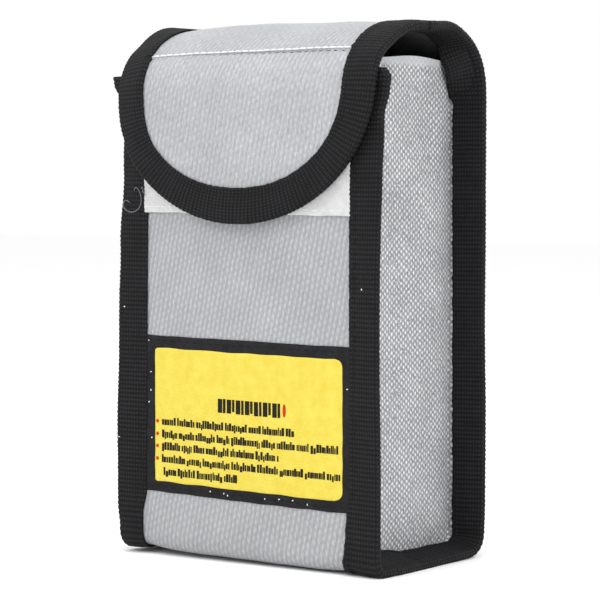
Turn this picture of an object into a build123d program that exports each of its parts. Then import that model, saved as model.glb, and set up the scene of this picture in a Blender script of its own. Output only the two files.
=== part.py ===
from build123d import *
import os
from math import cos, degrees, radians, sin, tan

# Upright cloth pouch for a model's lithium battery pack, with a hook-and-loop flap.
# X is the width, the front faces -Y, and Z is up. All sizes are in millimetres.
# One strip of glass-fibre cloth runs down the front, under the base, up the back and
# over the mouth to the flap's round tip. Two gussets close the sides, and a folded
# ribbed tape binds every raw edge.

# ---- driving dimensions ----
cloth_width = 64.0            # grey cloth showing between the two edge bindings
pouch_depth = 46.0            # outer face of the front cloth to outer face of the back cloth
front_height = 125.0          # top of the front panel's bindings
gusset_rise = 1.5             # gussets' top edges above the front bindings
mouth_rise = 11.5             # top of the tape over the mouth above the front bindings
flap_overlap = 39.0           # closed flap's tip below the top of the front
binding_width = 9.0           # tape showing on each face of an edge
base_radius = 8.0             # roll of the cloth from the front and the back into the base
back_shoulder_radius = 16.5   # roll of the cloth from the back over the mouth
flap_slope = 45.0             # the flap's slope over the top of the front, from level
top_roll_radius = 16.0        # roll of the cloth from the mouth into that slope
tongue_roll_radius = 7.0      # roll of the cloth from that slope into the hanging tongue
lid_line_angle = 45.0         # where the lid folds, up from the back shoulder's foot
flap_line_share = 0.5         # where the flap folds, as a share of the way down the slope
ply = 0.6                     # one layer of glass-fibre cloth or lining
tape = 0.5                    # one layer of binding tape
pile = 0.8                    # hook strip or loop strip
pile_gap = 0.3                # between the closed hook strip and the loop strip
body_gap = 0.4                # between two pieces that a fold line parts
hem = 1.0                     # lining kept below the edge that it is turned under

loop_tuck = 2.5               # lower edge of the loop strip above the flap's tip
loop_width = 25.0             # loop strip, edge to edge, upwards
hook_margin = 1.0             # hook patch to the flap's binding
label_low = 16.0              # lower edge of the label patch
label_height = 41.0
label_ply = 0.35
label_border = 2.6            # black edge round the label's coloured field
field_ply = 0.15
field_corner = 3.0
belly_inset = 4.0             # sagging middle of the base to its bindings

stitch_pitch = 3.0
stitch_length = 2.2
stitch_width = 0.45
stitch_rise = 0.15
seam_row = 1.8                # binding stitches to the tape's inner edge
strip_row = 1.5               # strip and label stitches to their own edge
flap_row = 1.2                # flap stitches to the fold line that they mark

# ---- places worked out from them ----
seam = 2 * ply
edge_x = cloth_width / 2
outer_x = edge_x + binding_width
sewn_x = outer_x - tape
front_y = -pouch_depth / 2
back_y = pouch_depth / 2
base_z = tape
turn_z = base_z + base_radius
front_cut_z = front_height - tape
gusset_height = front_height + gusset_rise
crown_height = front_height + mouth_rise
crown_z = crown_height - tape
tongue_tip_height = front_height - flap_overlap
loop_low = tongue_tip_height + loop_tuck
tongue_y = front_y - 2 * pile - pile_gap - seam

base_front = (front_y + base_radius, turn_z)
base_back = (back_y - base_radius, turn_z)
back_shoulder = (back_y - back_shoulder_radius, crown_z - back_shoulder_radius)
lid_half_gap = degrees(body_gap / 2 / back_shoulder_radius)
back_end = lid_line_angle - lid_half_gap
lid_start = lid_line_angle + lid_half_gap

# The flap's slope passes over the top corner of the front bindings with body_gap to spare.
slope_down = Vector(-cos(radians(flap_slope)), -sin(radians(flap_slope)))
slope_out = Vector(-sin(radians(flap_slope)), cos(radians(flap_slope)))
binding_corner = Vector(front_y - tape, front_height)
slope_point = binding_corner + slope_out * (seam + tape + body_gap)
to_crown = (slope_point.Y - crown_z) / slope_down.Y
to_tongue = (tongue_y - slope_point.X) / slope_down.X
crown_corner = slope_point - slope_down * to_crown
tongue_corner = slope_point + slope_down * to_tongue
top_tangent = top_roll_radius * tan(radians(flap_slope / 2))
tongue_tangent = tongue_roll_radius * tan(radians(45 - flap_slope / 2))
top_roll_centre = (crown_corner.X + top_tangent, crown_z - top_roll_radius)
tongue_roll_centre = (tongue_y + tongue_roll_radius, tongue_corner.Y - tongue_tangent)
slope_start = crown_corner + slope_down * top_tangent
slope_length = (tongue_corner - crown_corner).length - top_tangent - tongue_tangent
flap_line = flap_line_share * slope_length
tongue_drop = tongue_roll_centre[1] - tongue_tip_height


# ---- profiles in the side view: local X is the object's Y, local Y is its Z ----
# A wall is the band between two depths below the strip's outer cloth face.
# A negative depth stands proud of that face, as the tape does.
def box_face(y_low, y_high, z_low, z_high):
    middle = Pos((y_low + y_high) / 2, (z_low + z_high) / 2)
    return middle * Rectangle(y_high - y_low, z_high - z_low)


def ring_face(centre, radius, depths, angles):
    sweep = angles[1] - angles[0]
    outer = CenterArc(centre, radius - depths[0], angles[0], sweep)
    inner = CenterArc(centre, radius - depths[1], angles[0], sweep)
    ends = [Line(outer @ 0, inner @ 0), Line(outer @ 1, inner @ 1)]
    return make_face([outer, inner] + ends)


def front_wall(depths, top):
    return box_face(front_y + depths[0], front_y + depths[1], turn_z, top)


def base_wall(depths):
    flat = box_face(base_front[0], base_back[0], base_z + depths[0], base_z + depths[1])
    front_roll = ring_face(base_front, base_radius, depths, (180, 270))
    back_roll = ring_face(base_back, base_radius, depths, (270, 360))
    return flat + front_roll + back_roll


def back_wall(depths, end_angle):
    flat = box_face(back_y - depths[1], back_y - depths[0], turn_z, back_shoulder[1])
    return flat + ring_face(back_shoulder, back_shoulder_radius, depths, (0, end_angle))


def slope_wall(depths, ends):
    corners = []
    for depth, end in zip((0, 0, 1, 1), (0, 1, 1, 0)):
        corners.append(slope_start + slope_down * ends[end] - slope_out * depths[depth])
    return make_face(Polyline(*corners, close=True))


def lid_wall(depths):
    flat = box_face(top_roll_centre[0], back_shoulder[0], crown_z - depths[1], crown_z - depths[0])
    back_roll = ring_face(back_shoulder, back_shoulder_radius, depths, (lid_start, 90))
    front_roll = ring_face(top_roll_centre, top_roll_radius, depths, (90, 90 + flap_slope))
    return flat + back_roll + front_roll + slope_wall(depths, (0, flap_line - body_gap / 2))


def tongue_roll(depths):
    roll = ring_face(tongue_roll_centre, tongue_roll_radius, depths, (90 + flap_slope, 180))
    return roll + slope_wall(depths, (flap_line + body_gap / 2, slope_length))


def below_gusset_top():
    return box_face(front_y, back_y, 0, gusset_height)


def gusset_face(depth, top):
    face = box_face(front_y + depth, back_y - depth, base_z + depth, top)
    face = fillet(face.vertices().group_by(Axis.Y)[0], base_radius - depth)
    corner = box_face(back_shoulder[0], back_y, back_shoulder[1], crown_height)
    arch = Pos(*back_shoulder) * Circle(back_shoulder_radius - depth)
    return face - (corner - arch)


# ---- solids from the profiles ----
def across(face, x_low, x_high):
    return extrude(Plane.YZ.offset(x_low) * face, amount=x_high - x_low)


def folded_tape(skin, slot):
    return across(skin, edge_x, outer_x) - across(slot, edge_x, sewn_x)


def half_disc(half_width, drop, y_low, y_high):
    # The flap's hanging end: half an ellipse below the tongue's roll, as a flat plate.
    low_arc = EllipticalCenterArc((0, tongue_roll_centre[1]), half_width, drop, 180, arc_size=180)
    face = make_face([low_arc, Line(low_arc @ 0, low_arc @ 1)])
    plane = Plane(origin=(0, y_high, 0), x_dir=(1, 0, 0), z_dir=(0, -1, 0))
    return extrude(plane * face, amount=y_high - y_low)


def patch(half_width, y_low, y_high, z_low, z_high):
    centre = Pos(0, (y_low + y_high) / 2, (z_low + z_high) / 2)
    return centre * Box(2 * half_width, y_high - y_low, z_high - z_low)


def left_of(piece):
    return mirror(piece, about=Plane.YZ)


# ---- the strip's panels ----
def front_panel():
    return across(front_wall((0, ply), front_cut_z), -sewn_x, sewn_x)


def bottom_panel():
    cloth = across(base_wall((0, ply)), -sewn_x, sewn_x)
    belly = box_face(base_front[0], base_back[0], 0, base_z)
    return cloth + across(belly, belly_inset - edge_x, edge_x - belly_inset)


def back_panel():
    return across(back_wall((0, ply), back_end), -sewn_x, sewn_x)


def lid_panel():
    return across(lid_wall((0, ply)), -sewn_x, sewn_x)


def tongue_panel():
    roll = across(tongue_roll((0, ply)), -sewn_x, sewn_x)
    return roll + half_disc(sewn_x, tongue_drop - tape, tongue_y, tongue_y + ply)


# ---- the side gussets, with the flanges that the bindings hold ----
def gusset():
    wall = across(gusset_face(ply, gusset_height), edge_x - ply, edge_x)
    depths = (ply, seam)
    back_flange = back_wall(depths, back_end) & below_gusset_top()
    flange = front_wall(depths, front_cut_z) + base_wall(depths) + back_flange
    return wall + across(flange, edge_x, sewn_x)


# ---- the linings ----
def front_lining():
    return across(front_wall((ply, seam), front_cut_z - hem), ply - edge_x, edge_x - ply)


def bottom_lining():
    return across(base_wall((ply, seam)), ply - edge_x, edge_x - ply)


def back_lining():
    face = back_wall((ply, seam), back_end)
    low = across(face & below_gusset_top(), ply - edge_x, edge_x - ply)
    return low + across(face - below_gusset_top(), -sewn_x, sewn_x)


def gusset_lining():
    return across(gusset_face(seam, gusset_height - hem), edge_x - seam, edge_x - ply)


def lid_lining():
    return across(lid_wall((ply, seam)), -sewn_x, sewn_x)


def tongue_lining():
    roll = across(tongue_roll((ply, seam)), -sewn_x, sewn_x)
    return roll + half_disc(sewn_x, tongue_drop - tape, tongue_y + ply, tongue_y + seam)


# ---- the edge bindings ----
skin_depths = (-tape, seam + tape)
slot_depths = (0, seam)


def front_binding():
    return folded_tape(front_wall(skin_depths, front_height), front_wall(slot_depths, front_cut_z))


def bottom_binding():
    return folded_tape(base_wall(skin_depths), base_wall(slot_depths))


def back_binding():
    return folded_tape(back_wall(skin_depths, back_end), back_wall(slot_depths, back_end))


def lid_binding():
    return folded_tape(lid_wall(skin_depths), lid_wall(slot_depths))


def tongue_binding():
    roll = folded_tape(tongue_roll(skin_depths), tongue_roll(slot_depths))
    face_y = tongue_y - tape
    back_face_y = tongue_y + seam + tape
    rim = half_disc(outer_x, tongue_drop, face_y, back_face_y)
    rim -= half_disc(edge_x, tongue_drop - binding_width, face_y, back_face_y)
    rim -= half_disc(sewn_x, tongue_drop - tape, tongue_y, tongue_y + seam)
    return rim + roll + left_of(roll)


# ---- the fastening strips and the label ----
def loop_strip():
    return patch(edge_x, front_y - pile, front_y, loop_low, loop_low + loop_width)


def hook_patch():
    drop = tongue_drop - binding_width - hook_margin
    near_y = tongue_y + seam
    return half_disc(edge_x - hook_margin, drop, near_y, near_y + pile)


def label_patch():
    return patch(edge_x, front_y - label_ply, front_y, label_low, label_low + label_height)


def label_field():
    face_y = front_y - label_ply
    half_width = edge_x - label_border
    z_low = label_low + label_border
    z_high = label_low + label_height - label_border
    field = patch(half_width, face_y - field_ply, face_y, z_low, z_high)
    return fillet(field.edges().filter_by(Axis.Y), field_corner)


# ---- the sewing threads, as rows of stitches ----
def towards_front(point):
    return Vector(0, -1, 0)


def towards_back(point):
    return Vector(0, 1, 0)


def off_the_slope(point):
    return Vector(0, slope_out.X, slope_out.Y)


def upwards(point):
    return Vector(0, 0, 1)


def stitch_row(path, outward):
    count = int(path.length / stitch_pitch)
    on_face = (Align.CENTER, Align.CENTER, Align.MIN)
    stitch = Box(stitch_length, stitch_width, stitch_rise, align=on_face)
    row = []
    for number in range(count):
        place = (number + 0.5) / count
        point = path @ place
        plane = Plane(origin=point, x_dir=path % place, z_dir=outward(point))
        row.append(plane * stitch)
    return row


def thread_flap_line():
    place = slope_start + slope_down * (flap_line - flap_row)
    path = Line((-edge_x, place.X, place.Y), (edge_x, place.X, place.Y))
    return Compound(stitch_row(path, off_the_slope))


def rows_on_front(face_y, z_levels):
    rows = []
    for z in z_levels:
        rows += stitch_row(Line((-edge_x, face_y, z), (edge_x, face_y, z)), towards_front)
    return rows


def thread_loop_strip():
    levels = (loop_low + strip_row, loop_low + loop_width - strip_row)
    return Compound(rows_on_front(front_y - pile, levels))


def thread_label():
    levels = (label_low + label_border / 2, label_low + label_height - label_border / 2)
    return Compound(rows_on_front(front_y - label_ply, levels))


def thread_pouch_side():
    x = edge_x + seam_row
    face_y = front_y - tape
    back_face_y = back_y + tape
    rows = stitch_row(Line((x, face_y, turn_z), (x, face_y, front_height)), towards_front)
    rows += stitch_row(Line((x, back_face_y, turn_z), (x, back_face_y, back_shoulder[1])), towards_back)
    return Compound(rows)


def thread_lid_side():
    x = edge_x + seam_row
    path = Line((x, top_roll_centre[0], crown_height), (x, back_shoulder[0], crown_height))
    return Compound(stitch_row(path, upwards))


def thread_tongue():
    half_width = edge_x + seam_row
    drop = tongue_drop - binding_width + seam_row
    origin = (0, tongue_y - tape, tongue_roll_centre[1])
    plane = Plane(origin=origin, x_dir=(1, 0, 0), z_dir=(0, -1, 0))
    path = plane * EllipticalCenterArc((0, 0), half_width, drop, 180, arc_size=180)
    return Compound(stitch_row(path, towards_front))


pieces = {
    "front_panel": front_panel(),
    "bottom_panel": bottom_panel(),
    "back_panel": back_panel(),
    "gusset_right": gusset(),
    "gusset_left": left_of(gusset()),
    "lining_front": front_lining(),
    "lining_bottom": bottom_lining(),
    "lining_back": back_lining(),
    "lining_right": gusset_lining(),
    "lining_left": left_of(gusset_lining()),
    "binding_front_right": front_binding(),
    "binding_front_left": left_of(front_binding()),
    "binding_bottom_right": bottom_binding(),
    "binding_bottom_left": left_of(bottom_binding()),
    "binding_back_right": back_binding(),
    "binding_back_left": left_of(back_binding()),
    "loop_strip": loop_strip(),
    "label_patch": label_patch(),
    "label_field": label_field(),
    "thread_loop_strip": thread_loop_strip(),
    "thread_label": thread_label(),
    "thread_binding_right": thread_pouch_side(),
    "thread_binding_left": left_of(thread_pouch_side()),
    "lid_panel": lid_panel(),
    "lid_lining": lid_lining(),
    "lid_binding_right": lid_binding(),
    "lid_binding_left": left_of(lid_binding()),
    "thread_flap_line": thread_flap_line(),
    "thread_lid_right": thread_lid_side(),
    "thread_lid_left": left_of(thread_lid_side()),
    "tongue_panel": tongue_panel(),
    "tongue_lining": tongue_lining(),
    "tongue_binding": tongue_binding(),
    "hook_patch": hook_patch(),
    "thread_tongue": thread_tongue(),
}

# The origin is at the middle of the base, under the middle of the whole depth.
whole = Compound(list(pieces.values())).bounding_box()
centre_y = (whole.min.Y + whole.max.Y) / 2

os.makedirs("parts", exist_ok=True)
for name, piece in pieces.items():
    export_step(Pos(0, -centre_y, 0) * piece, os.path.join("parts", name + ".step"))


# ---- the places that the record states ----
lid_arm = back_shoulder_radius + tape
lid_axis_y = back_shoulder[0] + lid_arm * cos(radians(lid_line_angle)) - centre_y
lid_axis_z = back_shoulder[1] + lid_arm * sin(radians(lid_line_angle))
flap_axis = slope_start + slope_down * flap_line + slope_out * tape
print("lid fold axis y, z", round(lid_axis_y, 3), round(lid_axis_z, 3))
print("flap fold axis y, z", round(flap_axis.X - centre_y, 3), round(flap_axis.Y, 3))
print("front cloth y", round(front_y - centre_y, 3), "back cloth y", round(back_y - centre_y, 3))
print("lid's flat inside from y", round(top_roll_centre[0] - centre_y, 3))
print("whole", whole.size)
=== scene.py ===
from math import cos, pi, radians, sin

import bmesh
import bpy
import numpy as np
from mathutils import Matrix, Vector


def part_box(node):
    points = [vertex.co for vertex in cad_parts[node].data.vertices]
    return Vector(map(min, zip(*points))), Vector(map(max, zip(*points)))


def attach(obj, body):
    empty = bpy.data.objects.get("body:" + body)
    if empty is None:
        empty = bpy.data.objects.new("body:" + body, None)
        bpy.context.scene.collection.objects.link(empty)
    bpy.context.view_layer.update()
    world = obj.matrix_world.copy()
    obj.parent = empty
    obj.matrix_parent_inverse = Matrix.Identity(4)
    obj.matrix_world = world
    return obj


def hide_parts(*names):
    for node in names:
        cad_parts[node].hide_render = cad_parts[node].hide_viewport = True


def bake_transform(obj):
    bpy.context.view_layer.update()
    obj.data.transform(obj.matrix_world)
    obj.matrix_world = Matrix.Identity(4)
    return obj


# Looks of an upright cloth pouch with a hook-and-loop flap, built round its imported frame.
# Lengths here are in millimetres until a mesh is made. X is the width, the front faces -Y.

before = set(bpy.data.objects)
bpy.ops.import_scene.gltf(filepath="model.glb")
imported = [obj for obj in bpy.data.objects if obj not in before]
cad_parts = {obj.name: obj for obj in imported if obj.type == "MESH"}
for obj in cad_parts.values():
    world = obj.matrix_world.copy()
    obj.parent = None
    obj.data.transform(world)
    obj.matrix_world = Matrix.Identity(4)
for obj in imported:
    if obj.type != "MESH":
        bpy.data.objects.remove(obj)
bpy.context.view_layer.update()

MM = 0.001
RIGHT = 1
LEFT = -1


# ---- sizes read from the frame ----
def span(node, axis):
    low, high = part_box(node)
    return low[axis] / MM, high[axis] / MM


X, Y, Z = range(3)
edge_x, fin_x = span("binding_front_right", X)
fin_width = fin_x - edge_x
front_y, front_top = span("front_panel", Y)[0], span("front_panel", Z)[1]
back_y = span("back_panel", Y)[1]
gusset_top = span("gusset_right", Z)[1]
crown_z = span("lid_panel", Z)[1]
tongue_y = span("tongue_panel", Y)[0]
tongue_tip = span("tongue_binding", Z)[0]
loop_low, loop_high = span("loop_strip", Z)
label_low, label_high = span("label_patch", Z)
field_half, (field_low, field_high) = span("label_field", X)[1], span("label_field", Z)

# ---- sizes of the layers and of the sewn shape ----
ply = 0.6
tape = 0.5
pile = 0.8
stack = 2 * ply                    # cloth and lining, held by the tape
shoulder_radius = 16.5
base_seam_z = 2.6                  # the base's seams, above the tips of the right tape
base_corner = 3.6
gusset_hem = gusset_top + 1.3      # the soft mouth edge stands a little proud of the sewn height
strip_tuck = 2.6                   # cut edge of the cloth to the fold of the tape
tuck_x = fin_x - strip_tuck
flange = 6.0                       # gusset cloth held between the tape's legs
tongue_centre_z = 122.0            # the flap's end is half an oval below this height
flap_line_z = 128.9                # row of stitches across the flap
lid_front_y = -2.5                 # where the level cloth over the mouth starts to fall
flap_face_z = 117.0                # below this height the flap hangs straight
inner_drop = tongue_centre_z - tongue_tip - fin_width
outer_drop = tongue_centre_z - tongue_tip
rib_pitch = 1.15
rib_samples = 6
rib_rise = 0.17
line_step = 0.5                    # between the points of the strip's line
seam_in = 1.8                      # the tape's stitches to its seam
seam_pitch = 2.9
strip_row = 1.5                    # the loop strip's stitches to its edges
label_row = 1.3
label_ply = 0.35
field_ply = 0.5                    # label's field and its print, above the cloth


# ---- smooth unevenness, the same on every run ----
def ripple(a, b, size, seed):
    """Soft waves from about -1 to 1, roughly size across."""
    draw = np.random.default_rng(seed)
    total = 0.0
    for _ in range(6):
        turn, phase = draw.uniform(0, 2 * pi, 2)
        pitch = size * draw.uniform(0.7, 1.7)
        total = total + np.sin(2 * pi * (a * cos(turn) + b * sin(turn)) / pitch + phase)
    return total / 3.5


def eased(value, keys):
    """Moves smoothly through (place, level) keys."""
    places, levels = np.array(keys, float).T
    value = np.clip(value, places[0], places[-1])
    index = np.clip(np.searchsorted(places, value, side="right") - 1, 0, len(places) - 2)
    share = (value - places[index]) / (places[index + 1] - places[index])
    share = share * share * (3 - 2 * share)
    return levels[index] + (levels[index + 1] - levels[index]) * share


# ---- the strip's line in the side view, from the front's top round to the flap's tip ----
def line(start, end):
    count = max(2, int(np.hypot(end[0] - start[0], end[1] - start[1]) / line_step))
    return np.linspace(start, end, count)


def arc(centre, radius, start, end):
    count = max(4, int(abs(radians(end - start)) * radius / line_step))
    angles = np.radians(np.linspace(start, end, count))
    return np.stack([centre[0] + radius * np.cos(angles), centre[1] + radius * np.sin(angles)], 1)


def bezier(a, b, c, d):
    t = np.linspace(0, 1, 90)[:, None]
    a, b, c, d = (np.array(p, float) for p in (a, b, c, d))
    return (1 - t) ** 3 * a + 3 * t * (1 - t) ** 2 * b + 3 * t * t * (1 - t) * c + t ** 3 * d


def lengths_along(points):
    """Length from the start of a line of points to each of them."""
    steps = np.hypot(*np.diff(points, axis=0).T)
    return np.concatenate([[0], np.cumsum(steps)])


class SideLine:
    """A line of (y, z) points, read by its length from the front's top edge."""

    def __init__(self, runs):
        self.points = np.concatenate([runs[0]] + [run[1:] for run in runs[1:]])
        self.lengths = lengths_along(self.points)
        self.length = self.lengths[-1]

    def at(self, s):
        y = np.interp(s, self.lengths, self.points[:, 0])
        z = np.interp(s, self.lengths, self.points[:, 1])
        return y, z

    def outward(self, s):
        y0, z0 = self.at(np.clip(s - 0.6, 0, self.length))
        y1, z1 = self.at(np.clip(s + 0.6, 0, self.length))
        size = np.hypot(y1 - y0, z1 - z0)
        return (z1 - z0) / size, (y0 - y1) / size


low_turn = base_seam_z + base_corner
front_turn = (front_y + base_corner, low_turn)
back_turn = (back_y - base_corner, low_turn)
shoulder = (back_y - shoulder_radius, crown_z - shoulder_radius)
flap_face = (tongue_y - 0.2, flap_face_z)
runs = [
    line((front_y, front_top), (front_y, low_turn)),
    arc(front_turn, base_corner, 180, 270),
    line((front_turn[0], base_seam_z), (back_turn[0], base_seam_z)),
    arc(back_turn, base_corner, 270, 360),
    line((back_y, low_turn), (back_y, shoulder[1])),
    arc(shoulder, shoulder_radius, 0, 90),
    line((shoulder[0], crown_z), (lid_front_y, crown_z)),
    bezier((lid_front_y, crown_z), (-13.8, crown_z + 0.3), (-25.6, 129.3), flap_face),
    line(flap_face, (tongue_y + 0.45, tongue_tip)),
]
strip = SideLine(runs)
marks = np.cumsum([0] + [np.hypot(*np.diff(r, axis=0).T).sum() for r in runs])
(_, front_foot, base_start, base_end, back_foot, back_head,
 crown_start, crown_end, _, strip_end) = marks
split_s = crown_end - 3.0
below_crown = strip.lengths > crown_end


def s_on_flap(z):
    heights = strip.points[below_crown, 1]
    return np.interp(-np.asarray(z, float), -heights, strip.lengths[below_crown])


tongue_s = float(s_on_flap(tongue_centre_z))
flap_line_s = float(s_on_flap(flap_line_z))

# (length along the strip, level): how far the taped edge leans out, in degrees
TILTS_RIGHT = [
    (0, 1), (14, 3), (60, 6), (front_foot - 12, 6), (base_start, 6), (base_start + 9, 10),
    (base_start + 22, 12), (base_end, 12), (back_foot + 12, 15), (back_head + 6, 14),
    (crown_start - 6, 4), (crown_end, 0), (crown_end + 14, -7), (tongue_s - 4, 0),
    (strip_end, 0),
]
TILTS_LEFT = [
    (0, -14), (14, -14), (26, -11), (45, 3), (60, 7), (front_foot - 12, 6), (base_start, 5),
    (base_end, 8), (back_foot + 12, 14), (back_head + 6, 12), (crown_start, 8),
    (crown_end - 2, 8), (crown_end + 15, -14), (tongue_s, -18),
    (tongue_s + 14, -12), (tongue_s + 24, 0), (strip_end, 0),
]
# how far the taped edge reaches from the seam
REACHES_RIGHT = [
    (0, 11.0), (2.5, 11.4), (5.5, 11.0), (12, 9.4), (28, 8.9), (40, 8.6), (52, 8.4), (76, 8.5),
    (92, 8.6), (front_foot, 8.7), (base_start + 10, 9.0), (back_foot + 20, 9.4), (split_s, 9.4),
]
REACHES_LEFT = [
    (0, 14.2), (2.5, 13.6), (5.5, 11.6), (9.5, 9.6), (14, 9.2), (36, 8.9), (50, 8.5), (72, 8.6),
    (95, 9.2), (front_foot - 6, 9.3), (front_foot, 8.7), (base_start + 12, 9.0), (split_s, 9.2),
]
# how far the middle of the cloth stands out, and how flat that swell is across
BULGES = [
    (0, 0.1), (25, 0.5), (70, 0.9), (front_foot - 8, 0.8), (base_start, 0.9), (base_start + 8, 1.3),
    (base_end - 8, 1.3), (base_end, 1.1), (back_foot + 10, 1.3), (back_head - 50, 1.3),
    (back_head, 0.9), (crown_start, 1.0), (crown_end, 1.1), (crown_end + 12, 0.6), (tongue_s, 0.35),
    (strip_end - 14, 0.55), (strip_end, 0.55),
]
FLATNESS = [
    (0, 2.3), (front_foot - 25, 2.3), (base_start, 7), (base_end, 7), (back_foot + 20, 2.3),
    (crown_start, 2.3), (crown_end, 5), (tongue_s, 2.6), (strip_end, 2.4),
]

# (height, lift) of the pouch's middle line, and how much more its left edge is lifted
LIFTS = [(3, -1.1), (15, 0.15), (55, -0.19), (88, 0.1), (125, 0)]
LEFT_LIFTS = [(3, 0.45), (15, 0.65), (55, 0.41), (88, 0.3), (125, 0)]


def settle(points):
    """Lets the soft front stand a little unevenly, with nothing below the floor."""
    x, y, z = np.asarray(points, float).reshape(-1, 3).T
    near = np.clip((back_y - y) / (back_y - front_y), 0, 1)
    lean = np.clip(-x / edge_x, -1.3, 1.3)
    lift = near * (eased(z, LIFTS) + lean * eased(z, LEFT_LIFTS))
    return np.stack([x, y, np.maximum(z + lift, 0.02)], 1)


def tilt(s, side):
    sway = 1.0 * ripple(s, 7.0 * side, 42.0, 11) * eased(s, [(tongue_s - 8, 1), (tongue_s, 0)])
    lean = np.where(side == LEFT, eased(s, TILTS_LEFT), eased(s, TILTS_RIGHT))
    return np.radians(lean + sway)


def flap_line(x):
    """Where the row of stitches across the flap runs, a little askew."""
    return flap_line_s + 0.3 - 0.6 * x / edge_x + 0.2 * np.sin(x / 19.0)


def fold_line(x, s):
    """The sewn fold across the flap: a low ridge with a groove under its stitches."""
    past = s - flap_line(x)
    return 0.24 * np.exp(-(((past + 0.75) / 0.6) ** 2)) - 0.34 * np.exp(-(((past - 0.3) / 0.42) ** 2))


def bulge(x, s):
    share = np.clip(np.abs(x) / edge_x, 0, 1)
    crown = 1 - share ** eased(s, FLATNESS)
    waves = 0.16 * ripple(x, s, 34.0, 3) + 0.07 * ripple(x, s, 13.0, 5)
    return eased(s, BULGES) * crown + waves * (1 - share ** 4) + fold_line(x, s) * (share < 1)


def strip_point(x, s, rise):
    """A point on the strip, or on the tape beyond its edge, rise above the cloth's outer face."""
    x, s, rise = np.broadcast_arrays(*(np.asarray(v, float) for v in (x, s, rise)))
    side = np.where(x < 0, LEFT, RIGHT)
    beyond = np.clip(np.abs(x) - edge_x, 0, None)
    lean = tilt(s, side) * np.clip(beyond / 1.2, 0, 1)
    height = bulge(x, s) * (beyond == 0) + beyond * np.sin(lean) + rise * np.cos(lean)
    across = np.minimum(np.abs(x), edge_x) + beyond * np.cos(lean) - rise * np.sin(lean)
    y, z = strip.at(s)
    out_y, out_z = strip.outward(s)
    return np.stack([side * across, y + out_y * height, z + out_z * height], -1)


def on_front(x, z, rise):
    return strip_point(x, front_top - np.asarray(z, float), rise)


# ---- meshes ----
def linked(name, data):
    obj = bpy.data.objects.new(name, data)
    bpy.context.scene.collection.objects.link(obj)
    return obj


def new_object(name, points, faces, uv=None):
    mesh = bpy.data.meshes.new(name)
    mesh.from_pydata((settle(points) * MM).tolist(), [], faces)
    if uv is not None:
        corners = np.empty(len(mesh.loops), np.int32)
        mesh.loops.foreach_get("vertex_index", corners)
        layer = mesh.uv_layers.new(name="cloth")
        layer.data.foreach_set("uv", np.asarray(uv, np.float32)[corners].ravel())
    mesh.shade_smooth()
    return linked(name, mesh)


def quads(rows, cols, wrap=False, first=0):
    index = np.arange(rows * cols).reshape(rows, cols) + first
    if wrap:
        index = np.concatenate([index, index[:, :1]], 1)
    a, b = index[:-1, :-1], index[1:, :-1]
    c, d = index[1:, 1:], index[:-1, 1:]
    return np.stack([a, b, c, d], -1).reshape(-1, 4).tolist()


def tube_faces(rows, cols, first=0):
    """Sides and both ends of a tube of rows rings, each with cols points."""
    last = first + (rows - 1) * cols
    ends = [list(range(first, first + cols))[::-1], list(range(last, last + cols))]
    return quads(rows, cols, wrap=True, first=first) + ends


def tidy(obj, sharp=None):
    """Merges doubled points, turns faces outwards and marks sharp edges."""
    bm = bmesh.new()
    bm.from_mesh(obj.data)
    bmesh.ops.remove_doubles(bm, verts=bm.verts, dist=0.002 * MM)
    bmesh.ops.recalc_face_normals(bm, faces=bm.faces)
    bm.to_mesh(obj.data)
    bm.free()
    if sharp is not None:
        obj.data.set_sharp_from_angle(angle=radians(sharp))
    return obj


def thicken(obj, thickness, sharp=55):
    """Gives a surface its thickness, inwards from the face that was drawn."""
    solid = obj.modifiers.new("thickness", "SOLIDIFY")
    solid.thickness = thickness * MM
    solid.offset = -1
    solid.use_even_offset = False
    shown = bpy.context.evaluated_depsgraph_get()
    mesh = bpy.data.meshes.new_from_object(obj.evaluated_get(shown))
    obj.modifiers.clear()
    obj.data = mesh
    obj.data.set_sharp_from_angle(angle=radians(sharp))
    return obj


def surface(name, points, uv):
    rows, cols = points.shape[:2]
    return new_object(name, points.reshape(-1, 3), quads(rows, cols), uv.reshape(-1, 2))


def strip_surface(name, lengths, widths, rise):
    """A piece of the strip, drawn over rows at lengths and columns at shares of widths."""
    s = lengths[:, None]
    shares = np.linspace(-1, 1, 2 * int(widths.max() / 0.8) + 1)[None, :]
    x = shares * widths[:, None]
    points = strip_point(x, s + 0 * x, rise)
    uv = np.stack([x, -s + 0 * x], -1)
    return surface(name, points, uv)


# ---- the silver cloth ----
def tongue_half_width(s, half_width, drop):
    below = np.clip((s - tongue_s) / drop, 0, 1)
    return half_width * np.sqrt(1 - below ** 2)


def flap_rows(start, drop, step):
    straight = np.linspace(start, tongue_s, int((tongue_s - start) / step))
    angles = np.linspace(0, pi / 2, int(drop / step) + 14)[1:]
    return np.concatenate([straight, tongue_s + drop * np.sin(angles) * 0.9999])


def body_cloth():
    lengths = np.linspace(0, split_s + 0.6, int(split_s / 0.8))
    obj = strip_surface("body_cloth", lengths, np.full(len(lengths), tuck_x), 0)
    return thicken(obj, ply - 0.02)


def flap_sheet(name, step, rise, thickness):
    drop = outer_drop - strip_tuck
    lengths = flap_rows(split_s - 0.6, drop, step)
    widths = tongue_half_width(lengths, tuck_x, drop) + 0.01
    return thicken(strip_surface(name, lengths, widths, rise), thickness)


def body_lining():
    lengths = np.linspace(0.8, split_s + 0.6, int(split_s / 1.2))
    _, z = strip.at(lengths)
    inside = edge_x - ply - 0.1
    above = (lengths > back_foot) & (z > gusset_top)
    widths = np.where(above, tuck_x, inside)
    obj = strip_surface("body_lining", lengths, widths, -ply - 0.01)
    return thicken(obj, ply - 0.03)


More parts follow.
